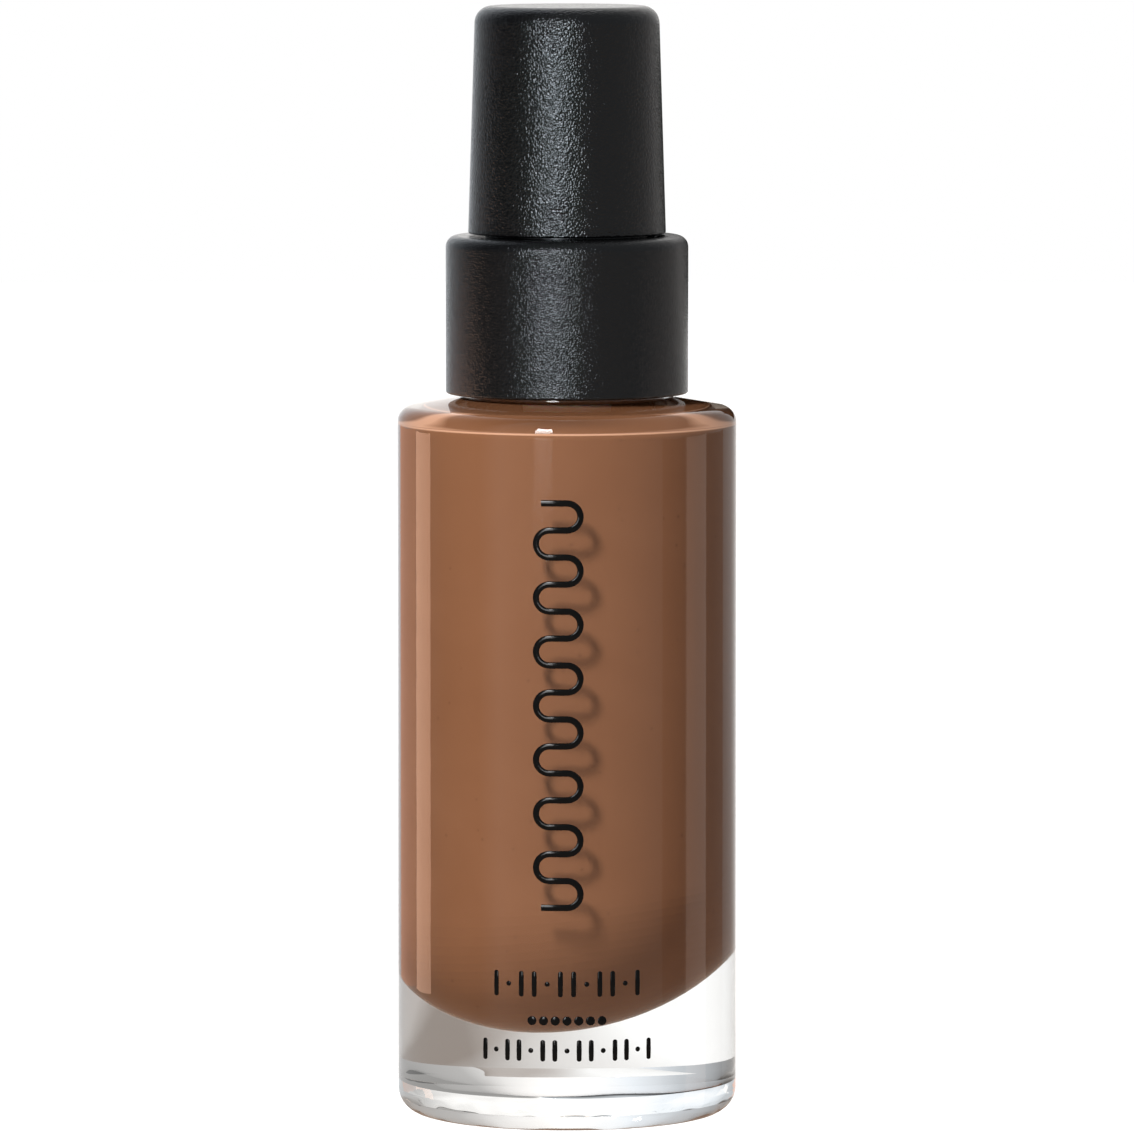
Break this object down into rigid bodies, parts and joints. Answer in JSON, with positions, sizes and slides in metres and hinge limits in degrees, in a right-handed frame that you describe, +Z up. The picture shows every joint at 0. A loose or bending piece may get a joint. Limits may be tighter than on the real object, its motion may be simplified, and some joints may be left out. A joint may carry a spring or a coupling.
{
  "type": "foundation bottle",
  "caption": "Clear cylindrical glass bottle of liquid foundation with a thick base, a smooth black collar, a pull-off overcap and a treatment pump inside.",
  "frame": {"origin": "middle of the ring that the bottle stands on, at the centre of its base", "axes": "+Z up along the axis of the bottle, -Y towards the front, where the print is and where the nozzle points"},
  "size_m": [0.033, 0.033, 0.108],
  "materials": {
    "clear_glass": "polished clear flint glass",
    "foundation": "smooth opaque liquid, warm mid brown",
    "black_collar": "satin black with a very fine grain",
    "black_overcap": "satin black, lightly textured",
    "black_closure": "moulded black polypropylene",
    "natural_plastic": "translucent natural polypropylene",
    "gasket_foam": "soft white polyethylene foam",
    "spring_steel": "bright stainless steel"
  },
  "bodies": {
    "bottle": {"glass_bottle": "clear_glass", "foundation_fill": "foundation"},
    "pump": {"pump_housing": "natural_plastic", "stem_retainer": "natural_plastic", "neck_gasket": "gasket_foam", "dip_tube": "natural_plastic", "return_spring": "spring_steel"},
    "closure": {"screw_closure": "black_closure", "collar_shell": "black_collar"},
    "overcap": {"overcap_shell": "black_overcap", "overcap_liner": "black_closure"},
    "plunger": {"piston_rod": "natural_plastic", "pump_stem": "natural_plastic"},
    "seal": {"piston_seal": "natural_plastic"},
    "actuator": {"actuator_shell": "black_closure", "actuator_core": "natural_plastic", "nozzle_tip": "black_closure"},
    "inlet_valve": {"inlet_ball": "spring_steel"},
    "outlet_valve": {"outlet_ball": "spring_steel"}
  },
  "joints": [
    {"name": "pump_lift", "type": "slide", "parent": "bottle", "child": "pump", "axis": [0, 0, 1], "range_m": [0, 0.00397]},
    {"name": "closure_spin", "type": "hinge", "parent": "pump", "child": "closure", "pos_m": [0, 0, 0.08], "axis": [0, 0, 1], "range_deg": [0, 450]},
    {"name": "overcap_pull", "type": "slide", "parent": "closure", "child": "overcap", "axis": [0, 0, 1], "range_m": [0, 0.024]},
    {"name": "actuator_press", "type": "slide", "parent": "pump", "child": "plunger", "axis": [0, 0, -1], "range_m": [0, 0.0045], "stiffness_N_per_m": 300, "springref_m": -0.01, "deforming": ["return_spring"]},
    {"name": "seal_slide", "type": "slide", "parent": "pump", "child": "seal", "axis": [0, 0, -1], "range_m": [0, 0.00405]},
    {"name": "actuator_turn", "type": "hinge", "parent": "plunger", "child": "actuator", "pos_m": [0, 0, 0.1], "axis": [0, 0, 1], "continuous": true},
    {"name": "inlet_lift", "type": "slide", "parent": "pump", "child": "inlet_valve", "axis": [0, 0, 1], "range_m": [0, 0.0007]},
    {"name": "outlet_lift", "type": "slide", "parent": "plunger", "child": "outlet_valve", "axis": [0, 0, 1], "range_m": [0, 0.0007]}
  ],
  "couplings": [
    {"joint": "closure_spin", "follows": "pump_lift", "rad_per_m": 1979},
    {"joint": "seal_slide", "follows": "actuator_press", "ratio": 0.9}
  ]
}
